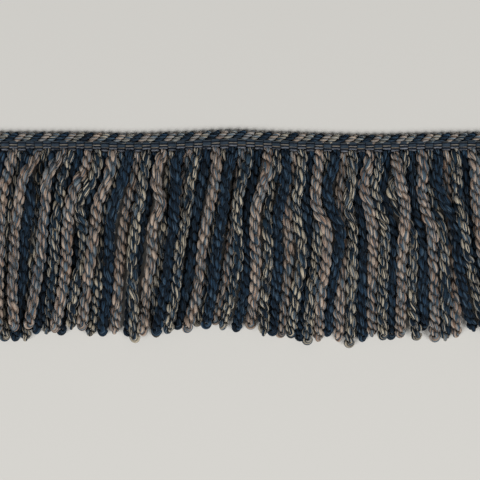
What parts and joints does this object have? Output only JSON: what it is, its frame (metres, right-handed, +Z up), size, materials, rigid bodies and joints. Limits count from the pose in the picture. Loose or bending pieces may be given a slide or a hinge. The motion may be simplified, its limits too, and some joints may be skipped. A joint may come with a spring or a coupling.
{
  "type": "bullion fringe",
  "caption": "Bullion fringe for upholstery: a woven heading with a skirt of thick twisted cords in navy, cream and taupe, lying flat on its back.",
  "frame": {"origin": "centre of the bounding box's bottom face, on the surface that the fringe lies on", "axes": "+X along the heading, +Y from the cords' tips towards the heading, +Z up through the thickness, face side up"},
  "size_m": [0.2928, 0.1092, 0.0096],
  "materials": {
    "warp_yarn": "matt woven yarn, slate, cream and navy",
    "navy_cord": "soft twisted yarn with a slight sheen",
    "taupe_cord": "soft twisted yarn, taupe and blue grey",
    "cream_cord": "soft twisted yarn, cream and navy"
  },
  "bodies": {
    "root": {"heading": "warp_yarn", "bullion_skirt": "navy_cord"}
  },
  "joints": []
}
